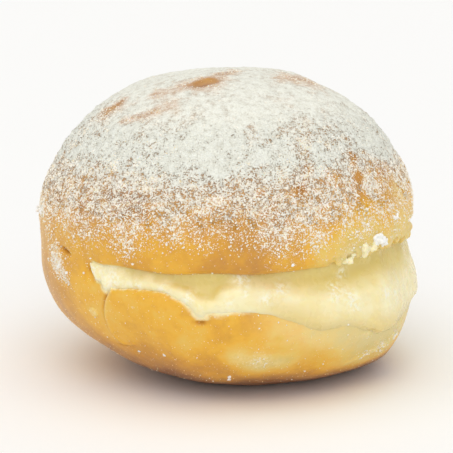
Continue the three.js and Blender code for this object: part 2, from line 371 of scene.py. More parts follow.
# They lie in patches: how dense on average, how much that varies and between what, and size
LOOSE_MEAN = 0.75
LOOSE_CHANGE = 0.7
LOOSE_RANGE = (0.05, 1.6)
LOOSE_PATCH_SIZE = 3.2 * MM
# How much of each kind strays over the rest of the bun, above a height
STRAY_SUGAR = 0.005
STRAY_SPECKS = 0.05
STRAY_FLOOR = 4 * MM

# Clumps of sugar and crumbs of dough that cling to the lips: centre and half width
SUGAR_CLUMPS = [
    ((35.2, -31, 38.6), 1.5),
    ((36.4, -29.8, 38.2), 1.5),
    ((37.2, -28.6, 37.4), 1),
    ((39.8, -24, 42.6), 0.8),
    ((15.1, -44.5, 35.4), 0.5),
    ((-46.6, -5, 40.8), 1),
    ((-44.7, -12.8, 41.6), 0.8),
    ((-38.9, -25.4, 31), 0.55),
    ((-40.4, -23.4, 32.2), 0.5),
    ((-37.3, -28, 30), 0.5),
    ((-20.4, -33.1, 12.3), 0.45),
    ((-14.4, -37.6, 12.4), 0.45),
    ((0.6, -37.1, 7.2), 0.45),
    ((0.6, -36.4, 6.6), 0.45),
    ((0.6, -35.6, 6), 0.4),
]
CRUMBS = [
    ((28.6, -35.8, 34.8), 1),
    ((27.8, -36.4, 34.2), 0.8),
    ((32.6, -33.4, 36.2), 1.3),
    ((33.8, -32.4, 36.6), 1),
    ((35, -31.2, 37.2), 1.1),
]

# How many balls each is made of, their smallest and largest share of its half width, and how far they spread
SUGAR_BALLS = 16
SUGAR_BALL_SIZE = (0.22, 0.45)
CRUMB_BALLS = 7
CRUMB_BALL_SIZE = (0.4, 0.7)
BALL_SPREAD = 0.75
# How far these stand out unevenly, and the size of a swell
SUGAR_ROUGHNESS = [(0.15, 0.7)]
CRUMB_ROUGHNESS = [(0.35, 1.3), (0.15, 0.5)]

# The cream: how far it swells, between which gaps to the bun, and how steep its face is
CREAM_FILL = 0.3 * MM
CREAM_FREE = (0.2 * MM, 1.4 * MM)
CREAM_FACING = (0.2, 0.7)
# How far it reaches into both cut faces, and how level it is there
CREAM_INTO_ROOF = 1.4 * MM
ROOF_BELOW = (3 * MM, 1 * MM)
ROOF_FACING = (0.45, 0.85)
CREAM_INTO_BED = 1.0 * MM
BED_FACING = (0.3, 0.8)
# Above a line, as azimuth and height, the cream lies back in the shade of the lip, and is coloured there
# with painted shade
HOLLOW_LINE = [
    (-46, 36), (-40, 35), (-34.2, 33.6), (-27.9, 32.4), (-23.1, 32.2), (-17, 31.2), (-12.2, 30.4),
    (-8.1, 29), (-5, 28.2), (-3.4, 28.2), (-1.5, 30.6), (2.4, 32), (6.8, 32), (13.4, 30.9),
    (17, 30), (21.8, 29.4), (31.2, 28.4), (36.7, 28.2), (42.8, 28.8), (52, 29.4), (69.5, 28.6),
    (112, 29.5), (150, 34), (180, 36),
]
HOLLOW_DEPTH = 1.8 * MM
HOLLOW_ENDS = (75, 40)
HOLLOW_WANDER = [(0.5, 3)]
# Its edge is firm up to one azimuth and soft from another
HOLLOW_EDGE_TURN = (-6, 20)
HOLLOW_EDGE = (1.2 * MM, 2.8 * MM)
# On the open side it takes on the look of dough, over these heights above the line of the run
DOUGHY_HEIGHTS = (6.5 * MM, 0.5 * MM)
DOUGHY_FROM = (4, 20)
# Whitish curds in it, partly a painted wet highlight: centre and reach
CURDS_AND_SHEEN = [
    ((27.3, -35, 31.7), 1.2),
    ((25.3, -37.7, 28.9), 1.6),
    ((24.6, -38.9, 26.6), 1.4),
    ((28.2, -36.4, 26.5), 1.8),
    ((29.4, -36.1, 24.2), 1.8),
    ((12.3, -42.9, 29.5), 1.8),
    ((3.7, -44.9, 32.1), 1.8),
    ((4, -45.8, 29.2), 0.9),
    ((8.7, -44.5, 27.6), 1.6),
    ((37.4, -29, 25), 1.8),
    ((39.9, -25.5, 23.9), 1.4),
    ((-33.4, -32.4, 33.6), 2.2),
    ((-30.4, -35.2, 32.2), 2.4),
    ((-26, -39, 31), 2.6),
    ((-20.6, -42, 30.2), 1.6),
    ((-14.4, -44.6, 29.6), 1.6),
    ((-8.4, -46, 28.4), 1.5),
    ((-5.6, -46.4, 26.6), 1.2),
    ((0.4, -46, 27.6), 1.4),
]
CREAM_LUMPS = [(0.45, 9), (0.25, 4)]
CREAM_SMOOTHING = 10
CREAM_POLISHING = 12
# Folds in its face, as azimuth and height, with how far they stand out and their half width
CREAM_FOLDS = [
    (((-28, 30.6), (-18, 30), (-10, 28.6), (-4, 27.2)), 0.6, 1),
    (((-6, 30.4), (4, 29.4), (10, 27.4)), 0.5, 0.9),
    (((8, 29.6), (18, 28.4), (26, 25.6)), 0.45, 0.9),
    (((24, 30.6), (34, 29.8), (44, 28.4)), 0.4, 0.9),
    (((30, 29.5), (31, 26.5), (33, 23.5)), 0.4, 0.6),
    (((35, 29), (36, 26), (38, 23.5)), 0.4, 0.6),
    (((40, 28), (42, 25), (44, 23)), 0.35, 0.7),
]

# Camera and stage
CAMERA_ELEVATION = math.radians(12)
CAMERA_DISTANCE = 420 * MM
CAMERA_TARGET = Vector((0, 0, 35 * MM))
CAMERA_LENS = 133.5
CAMERA_NEAREST = 10 * MM
FLOOR_HALF_WIDTH = 4.0
FLOOR_COLOUR = (0.97, 0.97, 0.97, 1)
SKY_COLOUR = (1, 0.99, 0.96, 1)
SKY_STRENGTH = 0.6
CEILING_FROM = (-0.1, -0.25, 1)
CEILING_STRENGTH = 0.95
CEILING_SPREAD = math.radians(70)
WINDOW_FROM = (0.05, -1, 0.7)
WINDOW_STRENGTH = 0.65
WINDOW_SPREAD = math.radians(50)


def smooth_step(low, high, value):
    share = np.clip((value - low) / (high - low), 0, 1)
    return share * share * (3 - 2 * share)


def between(ends, share):
    return ends[0] + (ends[1] - ends[0]) * share


def hump(gap, half_width):
    """1 at no gap, fading over the half width."""
    return np.exp(-((gap / half_width) ** 2))


def uneven(points, size, octaves, seed):
    """Soft noise, about -1 to 1, with swells of that size, at each point."""
    shift = Vector((seed * 7.31, seed * 3.17, seed * 5.71))
    return np.array([noise.fractal(Vector(p) / size + shift, 0.6, 2.1, octaves) for p in points])


def swells(points, table, octaves, first_seed):
    """Unevenness from a table of how far it stands out and the size of a swell."""
    rows = enumerate(table, first_seed)
    return sum(rise * MM * uneven(points, size * MM, octaves, seed) for seed, (rise, size) in rows)


def stepped(heights, steps):
    """What is gained at each height, from a table of steps: from one height to another, and how much."""
    return sum(gain * smooth_step(low * MM, high * MM, heights) for low, high, gain in steps)


def in_metres(places):
    return np.array(places) * MM


def gap_to_spot(points, centre):
    return np.linalg.norm(points - in_metres(centre), axis=1)


def near_spot(points, centre, reach):
    """1 at the centre, fading over the reach."""
    return hump(gap_to_spot(points, centre), reach * MM)


def spots(points, table):
    """What a table of spots adds to each point. Its rows are centre, reach and how much."""
    return sum(change * near_spot(points, centre, reach) for centre, reach, change in table)


def length_in_plan(vectors):
    return np.linalg.norm(vectors[:, :2], axis=1)


def azimuth_of(points):
    return np.degrees(np.arctan2(points[:, 0], -points[:, 1]))


def outward_at(azimuth):
    turn = math.radians(azimuth)
    return Vector((math.sin(turn), -math.cos(turn), 0))


def height_of(line, azimuth):
    """Height at an azimuth of a line that is a table of azimuths and heights."""
    return np.interp(azimuth, *np.transpose(line)) * MM


def nearest_on_path(points, path):
    """For each point: its distance from the path, how far along the path that is, and the place there."""
    path = np.array(path)
    gaps = np.full(len(points), np.inf)
    along = np.zeros(len(points))
    places = np.zeros_like(points)
    for index, (start, end) in enumerate(zip(path[:-1], path[1:])):
        run = end - start
        share = np.clip((points - start) @ run / (run @ run), 0, 1)
        place = start + share[:, None] * run
        gap = np.linalg.norm(points - place, axis=1)
        nearer = gap < gaps
        gaps[nearer] = gap[nearer]
        along[nearer] = (index + share[nearer]) / (len(path) - 1)
        places[nearer] = place[nearer]
    return gaps, along, places


def near_path(points, path, half_width, taper, wander=0):
    """How near each point is to a path, 0 to 1, fading over the half width and towards both ends."""
    gap, along, _ = nearest_on_path(points, path)
    return np.sin(math.pi * np.clip(along, taper, 1 - taper)) * hump(gap + wander, half_width)


# Pieces and their skins


def skin_of(mesh):
    """Points and outward directions of a mesh, as arrays."""
    points = np.empty(3 * len(mesh.vertices))
    normals = np.empty(3 * len(mesh.vertices))
    mesh.vertices.foreach_get("co", points)
    mesh.vertex_normals.foreach_get("vector", normals)
    return points.reshape(-1, 3), normals.reshape(-1, 3)


def move_skin(mesh, points):
    mesh.vertices.foreach_set("co", points.ravel())
    mesh.update()


def keep_value(mesh, name, values):
    """Stores one number for each point, for the material to read."""
    store = mesh.attributes.new(name, "FLOAT", "POINT")
    store.data.foreach_set("value", values.astype(np.float32))


def form_of(mesh):
    form = bmesh.new()
    form.from_mesh(mesh)
    return form


def node_form(node):
    """A copy of a solid with its loose triangles joined."""
    form = form_of(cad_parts[node].data)
    bmesh.ops.remove_doubles(form, verts=form.verts, dist=WELD)
    return form


def tree_of(form):
    """What finds the nearest place on a form, which is used up."""
    tree = BVHTree.FromBMesh(form)
    form.free()
    return tree


def gaps_to(tree, points):
    return np.array([tree.find_nearest(Vector(p))[3] for p in points])


def add_object(name, data):
    made = bpy.data.objects.new(name, data)
    bpy.context.scene.collection.objects.link(made)
    return made


def new_piece(name, form):
    mesh = bpy.data.meshes.new(name)
    form.to_mesh(mesh)
    form.free()
    return add_object(name, mesh)


def smooth_shaded(form, mesh):
    """Puts a form back into its mesh with soft shading."""
    for face in form.faces:
        face.smooth = True
    form.to_mesh(mesh)
    form.free()


def polish(mesh, rounds):
    """Smooths a skin that many times over."""
    form = form_of(mesh)
    for _ in range(rounds):
        bmesh.ops.smooth_vert(
            form, verts=form.verts, factor=0.5, use_axis_x=True, use_axis_y=True, use_axis_z=True
        )
    smooth_shaded(form, mesh)


def even_skin(piece, grain, smoothing):
    """Gives a piece a new skin of even faces, without the solid's facets."""
    remesh = piece.modifiers.new("even_skin", "REMESH")
    remesh.mode = "VOXEL"
    remesh.voxel_size = grain
    settled = piece.evaluated_get(bpy.context.evaluated_depsgraph_get())
    facets = piece.data
    piece.data = bpy.data.meshes.new_from_object(settled)
    piece.modifiers.clear()
    bpy.data.meshes.remove(facets)
    piece.data.name = piece.name
    polish(piece.data, smoothing)


def refine(mesh, chosen, cuts):
    """Divides the faces between chosen points, so that finer relief fits there."""
    form = form_of(mesh)
    edges = [edge for edge in form.edges if all(chosen[vert.index] for vert in edge.verts)]
    bmesh.ops.subdivide_edges(form, edges=edges, cuts=cuts, use_grid_fill=True)
    bmesh.ops.triangulate(form, faces=[face for face in form.faces if len(face.verts) > 4])
    smooth_shaded(form, mesh)


def cut_open(form, height):
    """Cuts away what is below a height and returns the edges of the cut."""
    everything = form.verts[:] + form.edges[:] + form.faces[:]
    cut = bmesh.ops.bisect_plane(
        form, geom=everything, plane_co=(0, 0, height), plane_no=(0, 0, 1), clear_inner=True
    )
    return [item for item in cut["geom_cut"] if isinstance(item, bmesh.types.BMEdge)]


def add_ball(form, centre, radius, subdivisions):
    ball = bmesh.ops.create_icosphere(form, subdivisions=subdivisions, radius=radius)
    bmesh.ops.translate(form, verts=ball["verts"], vec=centre)


def finish_piece(piece, material, slot, *nodes):
    piece.data.materials.clear()
    piece.data.materials.append(material)
    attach(piece, "root")
    if nodes:
        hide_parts(*nodes)


# Where the bun is cut, sugared and browned


def slit_floor(azimuth):
    """Height of the lower cut face where it meets the skin."""
    end = math.cos(math.radians(SLIT_HALF_SPAN))
    share = np.maximum(np.cos(np.radians(azimuth - SLIT_AZIMUTH)) - end, 0) / (1 - end)
    return SLIT_ROOF - SLIT_END - (SLIT_GAPE - SLIT_END) * share


def below_slit(points):
    """1 on the skin below the middle of the slit."""
    middle = (slit_floor(azimuth_of(points)) + SLIT_ROOF) / 2
    return smooth_step(middle + LIP_EDGE, middle, points[:, 2])


def open_lip(points):
    """1 on the lower lip on the open side of the slit."""
    azimuth = azimuth_of(points)
    open_side = smooth_step(*OPEN_LIP_FROM, azimuth) * smooth_step(*OPEN_LIP_TO, azimuth)
    return open_side * below_slit(points)


def torn_lip(points):
    """1 along the part of the upper lip that is torn, fading over the skin above it."""
    azimuth = azimuth_of(points)
    edge = SLIT_ROOF + TORN_RISE * hump(azimuth - TORN_AZIMUTH, TORN_SPREAD)
    torn = smooth_step(*TORN_FROM, azimuth) * smooth_step(*TORN_TO, azimuth)
    torn *= smooth_step(edge - LIP_EDGE, edge, points[:, 2])
    torn *= length_in_plan(points) > SLIT_INSIDE
    return torn * smooth_step(edge + TORN_REACH, edge + LIP_EDGE, points[:, 2])


def streaks_near(points):
    """For each streak over the dome: how near each point is, 0 to 1, with its depth and lack of sugar."""
    on_top = smooth_step(*STREAK_HEIGHTS, points[:, 2])
    squash = np.array((1, STREAK_SQUASH))
    for path, depth, half_width, bare in STREAKS:
        gap = nearest_on_path(points[:, :2] * squash, in_metres(path) * squash)[0] / (half_width * MM)
        near = (1 - STREAK_HALO_SHARE) * hump(gap, 1) + STREAK_HALO_SHARE * hump(gap, STREAK_HALO)
        yield on_top * near, depth * MM, bare


def dusting(points):
    """How much sugar has settled: 0 bare, 1 a closed layer."""
    dust = stepped(points[:, 2], DUST_STEPS)
    rows = enumerate(DUST_PATCHES, 31)
    patches = sum(change * uneven(points, size * MM, 2, seed) for seed, (change, size) in rows)
    dust = dust + patches * smooth_step(*DUST_PATCHY, dust)
    for near, _, bare in streaks_near(points):
        dust -= bare * near
    return np.clip(dust + spots(points, DUST_SPOTS), 0, 1)


def melting(points):
    """How damp the sugar is: 0 dry, 1 smooth with damp."""
    return smooth_step(*MELT_HEIGHTS, points[:, 2] + swells(points, MELT_WANDER, 1, 32))


def browning_and_painted_light(points):
    """How far the skin is browned, 0 pale to 1 brown, with painted shade low down and under the lip's edge
    and a painted highlight low on the front.
    """
    height = points[:, 2]
    dome = DOME_TOAST + stepped(height, DOME_STEPS)
    belly = BELLY_TOAST + stepped(height, BELLY_STEPS)
    turn = np.abs(azimuth_of(points) - SLIT_AZIMUTH)
    turn = np.minimum(turn, 360 - turn)
    edge = TOAST_EDGE + TOAST_EDGE_CLOSED * smooth_step(SLIT_HALF_SPAN - SLIT_FADE, SLIT_HALF_SPAN, turn)
    toast_and_painted_light = belly + (dome - belly) * smooth_step(TOAST_LINE - edge, TOAST_LINE + edge, height)
    pale_side = smooth_step(*PALE_SIDE_FROM, points[:, 0])
    pale_side *= smooth_step(*PALE_SIDE_TOP, height) * smooth_step(*PALE_SIDE_FOOT, height)
    toast_and_painted_light -= PALE_SIDE * pale_side
    # Some of these spots are painted shade, and some a painted highlight
    toast_and_painted_light += spots(points, TOAST_AND_PAINTED_LIGHT_SPOTS) + TOAST_PATCHES * uneven(points, TOAST_PATCH_SIZE, 2, 21)
    return np.clip(toast_and_painted_light, 0, 1)


def keep_looks(mesh, points, dust):
    """Stores what the crust and the sugar over it look like."""
    # The browning also carries painted shade and a painted highlight
    keep_value(mesh, "toast_and_painted_light", browning_and_painted_light(points))
    keep_value(mesh, "dust", dust)
    keep_value(mesh, "melt", melting(points))


# The bun


def skin_relief(points, dust):
    """How far the fried skin stands out from the plain bun at each point."""
    relief = swells(points, SKIN_SWELLS, 1, 0)
    relief -= SUGAR_BED * smooth_step(*SUGAR_BED_DUST, dust)
    for near, depth, _ in streaks_near(points):
        relief -= depth * near
    return relief + MM * spots(points, SKIN_DENTS)


def split_points(tree):
    """The split's path on the bun's skin."""
    path = []
    first, second, third, fourth = (Vector(place) for place in SPLIT_PATH)
    for step in range(SPLIT_STEPS + 1):
        t = step / SPLIT_STEPS
        u = 1 - t
        azimuth, height = u**3 * first + 3 * u * u * t * second + 3 * u * t * t * third + t**3 * fourth
        outward = outward_at(azimuth)
        path.append(tree.ray_cast(outward * OUTSIDE + Vector((0, 0, height * MM)), -outward)[0])
    return np.array(path)


def refine_flaws(mesh, split, cracks):
    """Divides the skin's faces where the split, the cracks and other small relief will be."""
    points, _ = skin_of(mesh)
    gaps = [nearest_on_path(points, path)[0] for path in (split, *cracks)]
    refine(mesh, np.min(gaps, axis=0) < CRACK_REACH, CRACK_CUTS)
    points, _ = skin_of(mesh)
    fine = torn_lip(points) > TORN_REFINED
    for lines, reach in ((LIP_FOLDS, FOLD_REACH), (WRINKLES, WRINKLE_REACH)):
        for path, _, half_width in lines:
            fine |= nearest_on_path(points, in_metres(path))[0] < reach * half_width * MM
    for centre, half_width, _ in FLAKES:
        fine |= gap_to_spot(points, centre) < FLAKE_REACH * half_width * MM
    refine(mesh, fine, RELIEF_CUTS)


def split_relief(points, split):
    """The split in the crust: its relief, how far painted shade darkens the crust along it, and how pale its
    rim is.
    """
    gap, along, place = nearest_on_path(points, split)
    right_side = azimuth_of(points) > azimuth_of(place)
    fading = SPLIT_FAINTEST + (1 - SPLIT_FAINTEST) * (1 - along) ** 3
    rim = right_side * fading * hump(gap - SPLIT_RIM_GAP, SPLIT_RIM_HALF_WIDTH)
    relief = SPLIT_RIM * rim - SPLIT_DEPTH * fading * hump(gap, SPLIT_HALF_WIDTH)
    relief += SPLIT_FILL * (1 - fading) * hump(gap, SPLIT_FILL_HALF_WIDTH)
    dark = fading * hump(gap, np.where(right_side, 0.5 * SPLIT_HALF_WIDTH, SPLIT_SHADE))
    return relief, dark, SPLIT_RIM_PALE * rim


def flaw_relief(points, cracks):
    """The crust's other flaws: their relief, how far painted shade darkens their cracks, and how far the
    crust is pale for them.
    """
    relief = np.zeros(len(points))
    dark = np.zeros(len(points))
    pale = np.zeros(len(points))
    for path, (_, depth, half_width) in zip(cracks, CRACKS):
        crack = near_path(points, path, half_width * MM, CRACK_TAPER)
        relief -= depth * MM * crack
        dark = np.maximum(dark, crack)
    wander = swells(points, FOLD_WANDER, 2, 16)
    for path, depth, half_width in LIP_FOLDS:
        relief -= depth * MM * near_path(points, in_metres(path), half_width * MM, FOLD_TAPER, wander)
    for centre, reach, strength in PALE_SPOTS:
        pale = np.maximum(pale, strength * near_spot(points, centre, reach))
    wander = swells(points, FLAKE_WANDER, 1, 17)
    for centre, half_width, thickness in FLAKES:
        edge = half_width * MM
        flake = smooth_step(edge, edge - FLAKE_EDGE, gap_to_spot(points, centre) + wander)
        relief += thickness * MM * flake
        pale = np.maximum(pale, FLAKE_PALE * flake)
    wander = swells(points, WRINKLE_WANDER, 2, 18)
    rough = swells(points, WRINKLE_ROUGHNESS, 2, 19)
    for path, rise, half_width in WRINKLES:
        wrinkle = near_path(points, in_metres(path), half_width * MM, WRINKLE_TAPER, wander)
        relief += wrinkle * (rise * MM + rough)
        pale = np.maximum(pale, WRINKLE_PALE * wrinkle)
    return relief, dark, pale


def make_bun(cream_tree):
    bun = new_piece("bun", node_form("dough"))
    even_skin(bun, BUN_GRAIN, SKIN_SMOOTHING)
    mesh = bun.data
    skin = tree_of(form_of(mesh))
    split = split_points(skin)
    cracks = []
    for path, _, _ in CRACKS:
        cracks.append(np.array([skin.find_nearest(Vector(place) * MM)[0] for place in path]))
    refine_flaws(mesh, split, cracks)

    points, normals = skin_of(mesh)
    gap_to_cream = gaps_to(cream_tree, points)
    dust = dusting(points)
    relief = skin_relief(points, dust) * smooth_step(*SKIN_CLEARANCE, gap_to_cream)
    split_rise, split_dark, split_pale = split_relief(points, split)
    flaw_rise, flaw_dark, flaw_pale = flaw_relief(points, cracks)
    relief += split_rise + flaw_rise
    on_lip = below_slit(points) * smooth_step(*FILLET_FROM, azimuth_of(points))
    relief += FILLET * on_lip * hump(gap_to_cream, FILLET_REACH)
    torn = torn_lip(points)
    relief += torn * TORN_ROUGHNESS * np.maximum(uneven(points, TORN_SWELL, 3, 11), TORN_DEEPEST)

    moved = points + normals * relief[:, None]
    moved[:, 2] -= TORN_HANG * torn * np.maximum(uneven(points, TORN_HANG_SWELL, 2, 14), 0)
    moved[:, 2] = np.maximum(moved[:, 2], 0)
    moved[points[:, 2] < RESTING, 2] = 0
    move_skin(mesh, moved)
    keep_looks(mesh, points, dust)
    # The crumb colour also paints the pale spots, the first three partly a painted highlight
    keep_value(mesh, "torn", np.clip(TORN_PALE * torn + np.maximum(split_pale, flaw_pale), 0, 1))
    # Painted shade in the cracks and along the split
    keep_value(mesh, "crack_shade", np.maximum(split_dark, flaw_dark))
    return bun


def soak(bun, cream):
    """Notes where cream has soaked into the bun and where a film of it clings."""
    points, _ = skin_of(bun.data)
    azimuth = azimuth_of(points)
    gap = gaps_to(tree_of(form_of(cream.data)), points)
    ragged = gap / (1 + SMEAR_RAGGED * uneven(points, SMEAR_SWELL, 2, 13))
    keep_value(bun.data, "smear", SMEAR_STRENGTH * open_lip(points) * smooth_step(SMEAR_FADE, 0, ragged))
    lip = np.maximum(below_slit(points), smooth_step(*FILM_BOTH_LIPS, azimuth))
    lip *= smooth_step(*FILM_ENDS, azimuth)
    keep_value(bun.data, "film", lip * np.maximum(1 - gap / FILM_REACH, 0))


# The cream


def filling_foot(cream_tree, azimuth):
    """The lowest place of the filling's face at an azimuth, or none where there is no face."""
    outward = outward_at(azimuth)
    for height in np.arange(-FOOT_SEARCH, FOOT_SEARCH, FOOT_STEP):
        outside = outward * OUTSIDE + Vector((0, 0, slit_floor(azimuth) + height))
        hit = cream_tree.ray_cast(outside, -outward)[0]
        if hit is not None and hit.xy.length > SLIT_INSIDE:
            return hit
    return None


def run_over(form, cream_tree, bun_tree):
    """Adds the cream that ran over the lower lip, as balls that a new skin will join to the filling."""
    for azimuth in np.arange(RUN_FROM, RUN_TO, RUN_TURN):
        start = filling_foot(cream_tree, azimuth)
        if start is None:
            continue
        line = height_of(RUN_LINE, azimuth)
        open_side = smooth_step(*RUN_OPEN, azimuth)
        corner = RUN_CORNER * open_side * smooth_step(*RUN_CORNER_ENDS, azimuth)
        if corner > 0:
            add_ball(form, start, corner, 1)
        spot, normal, _, _ = bun_tree.find_nearest(start)
        top = spot.z
        for _ in range(RUN_FURTHEST):
            share = min(1, (top - spot.z + RUN_STEP) / max(top - line, RUN_STEP))
            sunk = between(RUN_SUNK, share)
            sunk += (between(RUN_SUNK_OPEN, share) - sunk) * open_side
            add_ball(form, spot - normal * RUN_BALL * sunk, RUN_BALL, 1)
            downhill = RUN_OUTWARD * outward_at(azimuth) - Vector((0, 0, 1))
            downhill -= normal * downhill.dot(normal)
            spot, normal, _, _ = bun_tree.find_nearest(spot + downhill.normalized() * RUN_STEP)
            if spot.z < line:
                break
    for centre, half_width in DABS:
        add_ball(form, Vector(centre) * MM, half_width * MM, 1)


def hollow(points, azimuth):
    """1 where the cream lies back under the lip."""
    line = height_of(HOLLOW_LINE, azimuth) + swells(points, HOLLOW_WANDER, 2, 65)
    edge = np.interp(azimuth, HOLLOW_EDGE_TURN, HOLLOW_EDGE)
    return smooth_step(line - edge, line + edge, points[:, 2])


def cream_folds(points, azimuth):
    """Soft ridges that the spoon or the bag left in the face of the cream."""
    radius = length_in_plan(points).max()
    unrolled = np.column_stack([np.radians(azimuth) * radius, points[:, 2]])
    ridges = np.zeros(len(points))
    for path, rise, half_width in CREAM_FOLDS:
        flat = [(math.radians(place) * radius, height * MM) for place, height in path]
        ridges += rise * MM * near_path(unrolled, flat, half_width * MM, FOLD_TAPER)
    return ridges


def make_cream(cream_tree, bun_tree):
    form = node_form("cream")
    run_over(form, cream_tree, bun_tree)
    cream = new_piece("cream_filling", form)
    even_skin(cream, CREAM_GRAIN, CREAM_SMOOTHING)
    mesh = cream.data
    points, normals = skin_of(mesh)
    azimuth = azimuth_of(points)
    under_lip = hollow(points, azimuth)
    relief = cream_folds(points, azimuth) - HOLLOW_DEPTH * under_lip * smooth_step(*HOLLOW_ENDS, azimuth)
    relief *= smooth_step(*CREAM_FACING, length_in_plan(normals))
    relief += CREAM_FILL + swells(points, CREAM_LUMPS, 1, 61)
    relief *= smooth_step(*CREAM_FREE, gaps_to(bun_tree, points))
    moved = points + normals * relief[:, None]
    near_roof = smooth_step(SLIT_ROOF - ROOF_BELOW[0], SLIT_ROOF - ROOF_BELOW[1], points[:, 2])
    moved[:, 2] += CREAM_INTO_ROOF * near_roof * smooth_step(*ROOF_FACING, normals[:, 2])
    moved[:, 2] -= CREAM_INTO_BED * smooth_step(*BED_FACING, -normals[:, 2])
    move_skin(mesh, moved)
    polish(mesh, CREAM_POLISHING)

    # How far the cream under the lip is painted in shade
    keep_value(mesh, "under_lip", under_lip)
    curds_and_sheen = sum(near_spot(points, centre, reach) for centre, reach in CURDS_AND_SHEEN)
    keep_value(mesh, "curds_and_sheen", np.clip(curds_and_sheen, 0, 1))
    above_run = points[:, 2] - height_of(RUN_LINE, azimuth)
    keep_value(mesh, "doughy", smooth_step(*DOUGHY_HEIGHTS, above_run) * smooth_step(*DOUGHY_FROM, azimuth))
    return cream


# The sugar and the crumbs


def make_sugar_layer():
    """The closed layer of sugar on the dome: an uneven skin that sinks into the crust where it is thin."""
    form = node_form("dough")
    bmesh.ops.holes_fill(form, edges=cut_open(form, SUGAR_FLOOR))
    layer = new_piece("sugar_layer", form)
    even_skin(layer, SUGAR_GRAIN, SUGAR_SMOOTHING)
    mesh = layer.data
    points, normals = skin_of(mesh)
    dust = dusting(points)
    melt = melting(points)
    heap = HEAP_GAIN * dust - HEAP_START
    for seed, (rise, damp, size) in enumerate(HEAPS, 41):
        heap += (rise - damp * melt) * uneven(points, size * MM, 2, seed)
    thickness = np.clip(SUGAR_THICKNESS * heap, SUGAR_SINK, SUGAR_TOP)
    move_skin(mesh, points + normals * (skin_relief(points, dust) + thickness)[:, None])
    keep_looks(mesh, points, dust)
    close_behind(mesh)
    return layer


def close_behind(mesh):
    """Trims the layer and closes it with a back inside the bun."""
    form = form_of(mesh)
    cut_open(form, SUGAR_FLOOR + SUGAR_TRIM)
    backing = node_form("dough")
    cut_open(backing, SUGAR_FLOOR + SUGAR_TRIM)
    for vert in backing.verts:
        vert.co -= vert.normal * SUGAR_BACKING
    bmesh.ops.reverse_faces(backing, faces=backing.faces)
    spare = bpy.data.meshes.new("sugar_backing")
    backing.to_mesh(spare)
    backing.free()
    form.from_mesh(spare)
    bpy.data.meshes.remove(spare)
    bmesh.ops.bridge_loops(form, edges=[edge for edge in form.edges if edge.is_boundary])
    smooth_shaded(form, mesh)


def scattered(mesh, weights, count, draw):
    """Random places on a skin, more where its points weigh more, and the way outwards at each."""
    mesh.calc_loop_triangles()
    corners = np.empty(3 * len(mesh.loop_triangles), dtype=np.int32)
    mesh.loop_triangles.foreach_get("vertices", corners)
    corners = corners.reshape(-1, 3)
    points, normals = skin_of(mesh)
    first, second, third = (points[corners[:, i]] for i in range(3))
    areas = np.linalg.norm(np.cross(second - first, third - first), axis=1)
    share = np.cumsum(areas * weights[corners].mean(axis=1))
    picks = np.searchsorted(share, draw.random(count) * share[-1])
    blend_of_corners = draw.dirichlet((1, 1, 1), count)
    places = np.einsum("nc,nci->ni", blend_of_corners, points[corners[picks]])
    return places, normals[corners[picks, 0]]


def joined_grains(name, pattern, places, sizes, draw):
    """One mesh of many copies of a small pattern, each turned and stretched its own way."""
    pattern.verts.ensure_lookup_table()
    shape = np.array([vert.co for vert in pattern.verts])
    faces = np.array([[vert.index for vert in face.verts] for face in pattern.faces])
    pattern.free()
    count = len(places)
    stretch = draw.uniform(*GRAIN_STRETCH, (count, 1, 3)) * sizes[:, None, None]
    turns = np.array([Euler(draw.uniform(0, 2 * math.pi, 3)).to_matrix() for _ in range(count)])
    points = np.einsum("nij,nkj->nki", turns, shape[None] * stretch) + places[:, None, :]
    all_faces = faces[None] + np.arange(count)[:, None, None] * len(shape)
    mesh = bpy.data.meshes.new(name)
    mesh.from_pydata(points.reshape(-1, 3).tolist(), [], all_faces.reshape(-1, 3).tolist())
    return add_object(name, mesh)


def eight_sided_grain():
    grain = bmesh.new()
    bmesh.ops.create_uvsphere(grain, u_segments=4, v_segments=2, radius=1)
    bmesh.ops.triangulate(grain, faces=grain.faces)
    return grain


def twenty_sided_grain():
    grain = bmesh.new()
    bmesh.ops.create_icosphere(grain, subdivisions=1, radius=1)
    return grain


def grain_weights(mesh, stray):
    """How densely loose grains lie at each point of the bun: most where the closed layer ends."""
    points, _ = skin_of(mesh)
    height = points[:, 2]
    dust = np.empty(len(points), dtype=np.float32)
    mesh.attributes["dust"].data.foreach_get("value", dust)
    loose = smooth_step(*LOOSE_DUST, dust) * (1 - CLOSED_HIDES * smooth_step(*CLOSED_DUST, dust))
    patches = LOOSE_MEAN + LOOSE_CHANGE * uneven(points, LOOSE_PATCH_SIZE, 2, 51)
    loose *= np.clip(patches, *LOOSE_RANGE)
    loose *= 1 - DAMP_HIDES * melting(points)
    loose += stray * (height > STRAY_FLOOR)
    low, high = SLIT_HEIGHTS
    in_slit = (length_in_plan(points) < SLIT_INSIDE) & (low < height) & (height < high)
    return np.where(in_slit, 0, loose)


def make_sugar_grains(bun, name, pattern, count, size, stray, seed):
    draw = np.random.default_rng(seed)
    places, normals = scattered(bun.data, grain_weights(bun.data, stray), count, draw)
    sizes = between(size, draw.random(count) ** 2)
    places = places + normals * (GRAIN_RAISED * sizes)[:, None]
    return joined_grains(name, pattern, places, sizes, draw)


